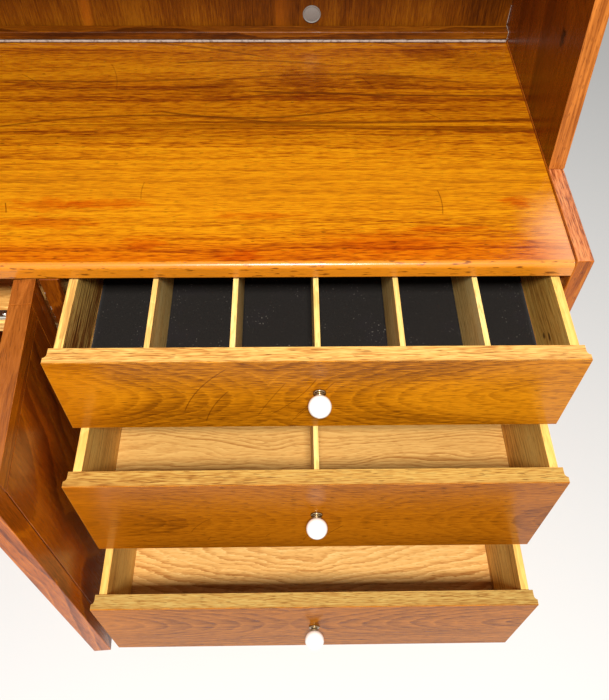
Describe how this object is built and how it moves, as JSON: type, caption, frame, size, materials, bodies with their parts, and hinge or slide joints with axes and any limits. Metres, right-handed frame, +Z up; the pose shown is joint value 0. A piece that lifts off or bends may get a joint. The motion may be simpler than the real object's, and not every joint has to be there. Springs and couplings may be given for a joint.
{
  "type": "secretary desk",
  "caption": "Walnut secretary desk: drawers beside a hinged cupboard, with an open leaning hutch above the desk top.",
  "frame": {"origin": "on the floor, at the middle of the desk's width and at the middle of its depth as it stands, with the drawers and the door open as at rest", "axes": "+Z up; +X to the right for a person facing the desk; +Y to the back, so the drawers open towards -Y"},
  "size_m": [0.94, 0.7796, 1.57],
  "materials": {
    "walnut_case": "satin lacquered walnut, orange brown",
    "walnut_fronts": "satin lacquered walnut veneer, golden brown",
    "walnut_panel": "darker walnut veneer",
    "oak_pale": "clear lacquered pale oak",
    "oak_veneer": "clear lacquered oak veneer",
    "black_felt": "short black felt",
    "white_ceramic": "gloss white glaze",
    "aged_bronze": "aged dark brass",
    "hinge_steel": "plated steel, dull",
    "grey_plastic": "warm grey plastic",
    "grey_bead": "pale grey bead, matt"
  },
  "bodies": {
    "carcase": {"base_side_left": "walnut_case", "base_side_right": "walnut_case", "desk_top": "walnut_case", "base_bottom": "walnut_case", "base_partition": "walnut_case", "leg_frame_left": "walnut_case", "leg_frame_right": "walnut_case", "hutch_side_left": "walnut_case", "hutch_side_right": "walnut_case", "hutch_bottom_rail": "walnut_case", "hutch_shelf": "walnut_case", "hutch_top": "walnut_case", "base_back": "walnut_panel", "hutch_back": "walnut_panel", "cupboard_shelf": "oak_veneer", "hutch_cord_hole_plug": "grey_plastic", "hutch_bottom_strip": "grey_bead", "drawer_1_runner_left": "oak_pale", "drawer_1_runner_right": "oak_pale", "drawer_2_runner_left": "oak_pale", "drawer_2_runner_right": "oak_pale", "drawer_3_runner_left": "oak_pale", "drawer_3_runner_right": "oak_pale", "hinge_upper_fixed_leaf": "hinge_steel", "hinge_lower_fixed_leaf": "hinge_steel"},
    "drawer_1": {"drawer_1_front": "walnut_fronts", "drawer_1_side_left": "oak_pale", "drawer_1_side_right": "oak_pale", "drawer_1_back": "oak_pale", "drawer_1_bottom": "oak_veneer", "drawer_1_knob": "white_ceramic", "drawer_1_knob_stem": "aged_bronze", "drawer_1_felt": "black_felt", "drawer_1_slat_1": "oak_pale", "drawer_1_slat_2": "oak_pale", "drawer_1_slat_3": "oak_pale", "drawer_1_slat_4": "oak_pale", "drawer_1_slat_5": "oak_pale"},
    "drawer_2": {"drawer_2_front": "walnut_fronts", "drawer_2_side_left": "oak_pale", "drawer_2_side_right": "oak_pale", "drawer_2_back": "oak_pale", "drawer_2_bottom": "oak_veneer", "drawer_2_knob": "white_ceramic", "drawer_2_knob_stem": "aged_bronze", "drawer_2_slat_1": "oak_pale"},
    "drawer_3": {"drawer_3_front": "walnut_fronts", "drawer_3_side_left": "oak_pale", "drawer_3_side_right": "oak_pale", "drawer_3_back": "oak_pale", "drawer_3_bottom": "oak_veneer", "drawer_3_knob": "white_ceramic", "drawer_3_knob_stem": "aged_bronze"},
    "door": {"door_stile_hinge_side": "walnut_fronts", "door_stile_free_side": "walnut_fronts", "door_rail_bottom": "walnut_fronts", "door_rail_top": "walnut_fronts", "door_panel": "walnut_fronts", "hinge_upper_door_leaf": "hinge_steel", "hinge_lower_door_leaf": "hinge_steel"}
  },
  "joints": [
    {"name": "drawer_1_slide", "type": "slide", "parent": "carcase", "child": "drawer_1", "axis": [0, -1, 0], "range_m": [-0.117, 0.213]},
    {"name": "drawer_2_slide", "type": "slide", "parent": "carcase", "child": "drawer_2", "axis": [0, -1, 0], "range_m": [-0.194, 0.136]},
    {"name": "drawer_3_slide", "type": "slide", "parent": "carcase", "child": "drawer_3", "axis": [0, -1, 0], "range_m": [-0.2755, 0.0545]},
    {"name": "door_hinge", "type": "hinge", "parent": "carcase", "child": "door", "pos_m": [-0.1683, -0.08195, 0.455], "axis": [0, 0, 1], "range_deg": [-93.6, 0]}
  ]
}
